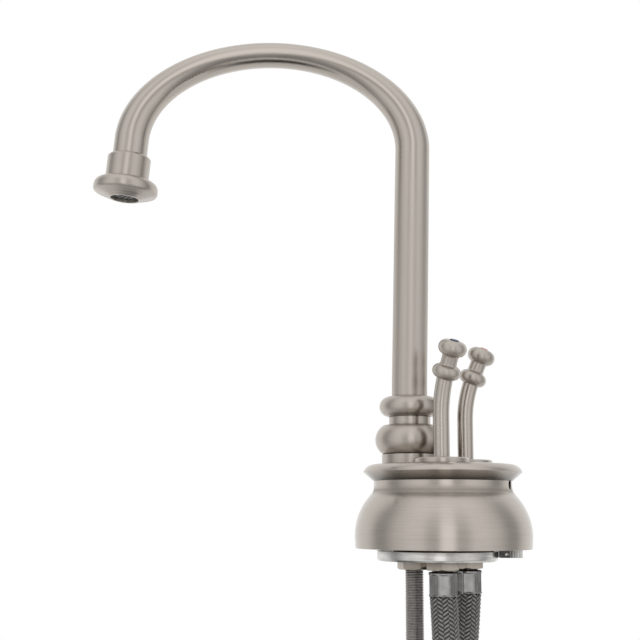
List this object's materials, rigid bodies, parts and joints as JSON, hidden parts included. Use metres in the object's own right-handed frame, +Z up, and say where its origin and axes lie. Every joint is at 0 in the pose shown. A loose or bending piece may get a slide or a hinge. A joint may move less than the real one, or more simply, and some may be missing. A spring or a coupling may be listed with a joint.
{
  "type": "hot and cold water dispenser tap",
  "caption": "Deck-mounted hot and cold water dispenser tap with a swivelling gooseneck spout, a bell-shaped base, self-closing levers and braided supply hoses.",
  "frame": {"origin": "centre of the seat ring under the base plate, on the worktop's surface", "axes": "+Z up out of the worktop, -X along the spout at rest, the levers towards +X"},
  "size_m": [0.1982, 0.077, 0.6575],
  "materials": {
    "nickel": "brushed satin nickel",
    "zinc": "bright cast zinc",
    "brass": "machined brass",
    "fitting_metal": "nickel-plated brass",
    "steel": "threaded steel",
    "ferrule_steel": "bright crimped steel",
    "braid": "stainless steel braid over a rubber tube",
    "seal_rubber": "black rubber",
    "flow_plastic": "moulded plastic",
    "blue_cap": "gloss blue",
    "red_cap": "gloss red"
  },
  "bodies": {
    "base": {"base_bell": "nickel", "base_plate": "zinc", "valve_body": "brass", "plate_screws": "steel", "bell_clip": "zinc", "bell_clip_screw": "steel", "bell_set_screw": "steel", "mounting_stud": "steel", "stud_lock_nut": "fitting_metal", "spout_post": "nickel", "swivel_ring": "nickel", "cold_pivot_pin": "steel", "cold_cartridge": "brass", "cold_stem_seal": "seal_rubber", "cold_valve_spring": "steel", "cold_hose_fitting": "fitting_metal", "cold_top_ferrule": "ferrule_steel", "cold_hose": "braid", "cold_end_ferrule": "ferrule_steel", "cold_end_tail": "fitting_metal", "hot_pivot_pin": "steel", "hot_cartridge": "brass", "hot_stem_seal": "seal_rubber", "hot_valve_spring": "steel", "hot_hose_fitting": "fitting_metal", "hot_top_ferrule": "ferrule_steel", "hot_hose": "braid", "hot_end_ferrule": "ferrule_steel", "hot_end_tail": "fitting_metal"},
    "spout": {"spout_collar": "nickel", "spout_o_rings": "seal_rubber", "spout_clip": "steel", "spout_tube": "nickel", "nozzle_collar": "nickel", "aerator_housing": "nickel", "aerator_washer": "seal_rubber", "aerator_insert": "flow_plastic"},
    "cold_handle": {"cold_lever": "nickel", "cold_cap": "blue_cap"},
    "cold_slide": {"cold_lever_plate": "nickel"},
    "cold_stem": {"cold_plunger": "steel", "cold_plunger_washer": "seal_rubber"},
    "cold_swivel_nut": {"cold_end_nut": "fitting_metal"},
    "hot_handle": {"hot_lever": "nickel", "hot_cap": "red_cap"},
    "hot_slide": {"hot_lever_plate": "nickel"},
    "hot_stem": {"hot_plunger": "steel", "hot_plunger_washer": "seal_rubber"},
    "hot_swivel_nut": {"hot_end_nut": "fitting_metal"}
  },
  "joints": [
    {"name": "spout_swivel", "type": "hinge", "parent": "base", "child": "spout", "pos_m": [-0.01094, 0.00665, 0.063], "axis": [0, 0, 1], "continuous": true},
    {"name": "cold_lever_swing", "type": "hinge", "parent": "base", "child": "cold_handle", "pos_m": [-0.00097, -0.01277, 0.033], "axis": [0.7944, 0.6074, 0], "range_deg": [0, 18], "stiffness_Nm_per_rad": 0.9},
    {"name": "cold_plate_slide", "type": "slide", "parent": "base", "child": "cold_slide", "axis": [0.6074, -0.7944, 0], "range_m": [0, 0.00326]},
    {"name": "cold_plunger_slide", "type": "slide", "parent": "base", "child": "cold_stem", "axis": [0, 0, -1], "range_m": [0, 0.000927], "deforming": ["cold_valve_spring"]},
    {"name": "cold_nut_turn", "type": "hinge", "parent": "base", "child": "cold_swivel_nut", "pos_m": [0.01185, -0.00615, -0.4177], "axis": [0, 0, 1], "continuous": true},
    {"name": "hot_lever_swing", "type": "hinge", "parent": "base", "child": "hot_handle", "pos_m": [0.01089, 0.00673, 0.033], "axis": [0.1736, 0.9848, 0], "range_deg": [0, 18], "stiffness_Nm_per_rad": 0.9},
    {"name": "hot_plate_slide", "type": "slide", "parent": "base", "child": "hot_slide", "axis": [0.9848, -0.1736, 0], "range_m": [0, 0.00326]},
    {"name": "hot_plunger_slide", "type": "slide", "parent": "base", "child": "hot_stem", "axis": [0, 0, -1], "range_m": [0, 0.000927], "deforming": ["hot_valve_spring"]},
    {"name": "hot_nut_turn", "type": "hinge", "parent": "base", "child": "hot_swivel_nut", "pos_m": [0.00884, 0.02221, -0.4127], "axis": [0, 0, 1], "continuous": true}
  ],
  "couplings": [
    {"joint": "cold_plate_slide", "follows": "cold_lever_swing", "m_per_rad": 0.01037},
    {"joint": "cold_plunger_slide", "follows": "cold_lever_swing", "m_per_rad": 0.00295},
    {"joint": "hot_plate_slide", "follows": "hot_lever_swing", "m_per_rad": 0.01037},
    {"joint": "hot_plunger_slide", "follows": "hot_lever_swing", "m_per_rad": 0.00295}
  ]
}
